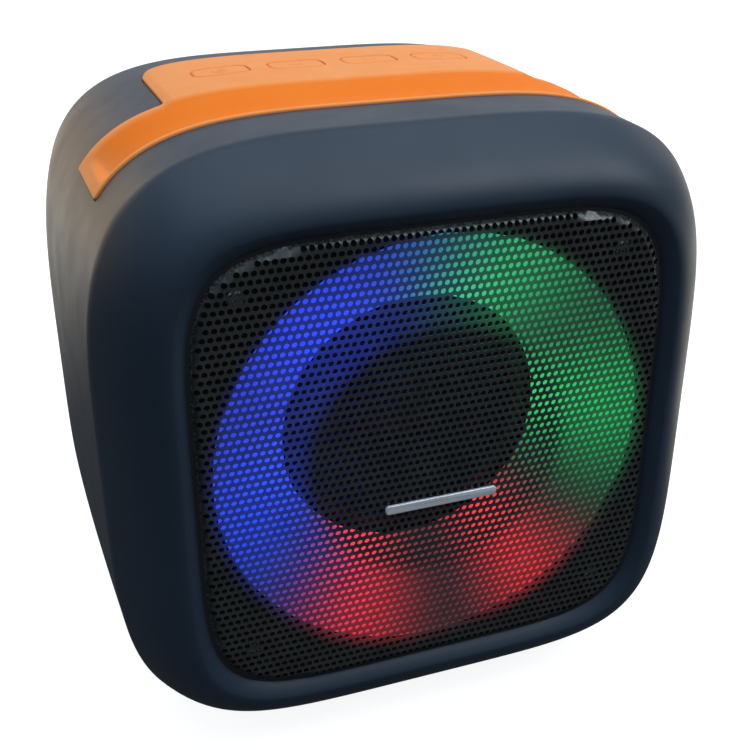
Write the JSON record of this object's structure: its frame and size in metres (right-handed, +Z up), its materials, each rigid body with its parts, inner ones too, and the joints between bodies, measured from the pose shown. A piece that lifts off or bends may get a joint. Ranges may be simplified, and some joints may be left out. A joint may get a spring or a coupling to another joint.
{
  "type": "party speaker",
  "caption": "Compact rechargeable party speaker: squared cabinet with a deep rim, perforated grille over a lit ring and a full-range driver, soft keys on a trim across the top.",
  "frame": {"origin": "bottom centre of the object's box, on the surface its feet stand on", "axes": "+X to the right seen from in front, +Y from the grille into the cabinet, +Z up"},
  "size_m": [0.1956, 0.159, 0.197],
  "materials": {
    "cabinet": "satin dark blue-grey moulded plastic, fine texture",
    "rear_plastic": "spark-textured dark grey moulded plastic",
    "orange_trim": "soft-touch orange elastomer, satin",
    "black_plastic": "black moulded plastic",
    "grille_steel": "perforated steel sheet, black powder coat",
    "badge_metal": "brushed plain bar",
    "ring_diffuser": "milky translucent plastic, lit by the lights",
    "led": "clear encapsulant over phosphor",
    "circuit_board": "green solder mask",
    "foam": "closed-cell foam",
    "basket_steel": "pressed steel, black paint",
    "surround_rubber": "butyl rubber, matte",
    "cone_paper": "pressed paper pulp, matte",
    "coil_copper": "enamelled copper winding",
    "spider_cloth": "resin-dipped woven cloth",
    "zinc_steel": "zinc plated",
    "socket_steel": "bright tin plate",
    "black_screw": "black zinc, semi-gloss",
    "ferrite": "ground sintered ferrite",
    "foot_rubber": "matte moulded rubber",
    "light_lens": "clear light pipe",
    "battery_wrap": "blue heat-shrink sleeve",
    "cable": "red PVC insulation"
  },
  "bodies": {
    "cabinet": {"housing_shell": "cabinet", "rear_cover": "rear_plastic", "port_tube": "black_plastic", "grille": "grille_steel", "grille_badge": "badge_metal", "front_baffle": "black_plastic", "led_diffuser": "ring_diffuser", "led_board": "circuit_board", "led_1": "led", "led_2": "led", "led_3": "led", "led_4": "led", "led_5": "led", "led_6": "led", "woofer_gasket": "foam", "woofer_frame": "basket_steel", "woofer_surround": "surround_rubber", "spider": "spider_cloth", "top_plate": "zinc_steel", "magnet": "ferrite", "yoke": "zinc_steel", "top_trim": "orange_trim", "key_board": "circuit_board", "tact_switch_mode": "black_plastic", "tact_switch_minus": "black_plastic", "tact_switch_play": "black_plastic", "tact_switch_plus": "black_plastic", "main_board": "circuit_board", "charge_socket": "socket_steel", "charge_light_lens": "light_lens", "memory_card_socket": "socket_steel", "host_socket": "socket_steel", "audio_socket": "black_plastic", "battery_holder": "black_plastic", "battery_pack": "battery_wrap", "speaker_cable": "cable", "light_cable": "cable", "rear_screw_1": "black_screw", "rear_screw_2": "black_screw", "rear_screw_3": "black_screw", "rear_screw_4": "black_screw", "baffle_screw_1": "zinc_steel", "baffle_screw_2": "zinc_steel", "baffle_screw_3": "zinc_steel", "baffle_screw_4": "zinc_steel", "woofer_screw_1": "zinc_steel", "woofer_screw_2": "zinc_steel", "woofer_screw_3": "zinc_steel", "woofer_screw_4": "zinc_steel", "foot_1": "foot_rubber", "foot_2": "foot_rubber", "foot_3": "foot_rubber", "foot_4": "foot_rubber"},
    "cone": {"woofer_cone": "cone_paper", "dust_cap": "cone_paper", "voice_coil": "coil_copper"},
    "key_mode": {"key_mode": "orange_trim"},
    "key_minus": {"key_minus": "orange_trim"},
    "key_play": {"key_play": "orange_trim"},
    "key_plus": {"key_plus": "orange_trim"}
  },
  "joints": [
    {"name": "cone_stroke", "type": "slide", "parent": "cabinet", "child": "cone", "axis": [0, 1, 0], "range_m": [-0.0025, 0.0025], "stiffness_N_per_m": 1400, "deforming": ["woofer_surround", "spider"]},
    {"name": "press_mode", "type": "slide", "parent": "cabinet", "child": "key_mode", "axis": [0, 0, -1], "range_m": [0, 0.0007], "stiffness_N_per_m": 400},
    {"name": "press_minus", "type": "slide", "parent": "cabinet", "child": "key_minus", "axis": [0, 0, -1], "range_m": [0, 0.0007], "stiffness_N_per_m": 400},
    {"name": "press_play", "type": "slide", "parent": "cabinet", "child": "key_play", "axis": [0, 0, -1], "range_m": [0, 0.0007], "stiffness_N_per_m": 400},
    {"name": "press_plus", "type": "slide", "parent": "cabinet", "child": "key_plus", "axis": [0, 0, -1], "range_m": [0, 0.0007], "stiffness_N_per_m": 400}
  ]
}
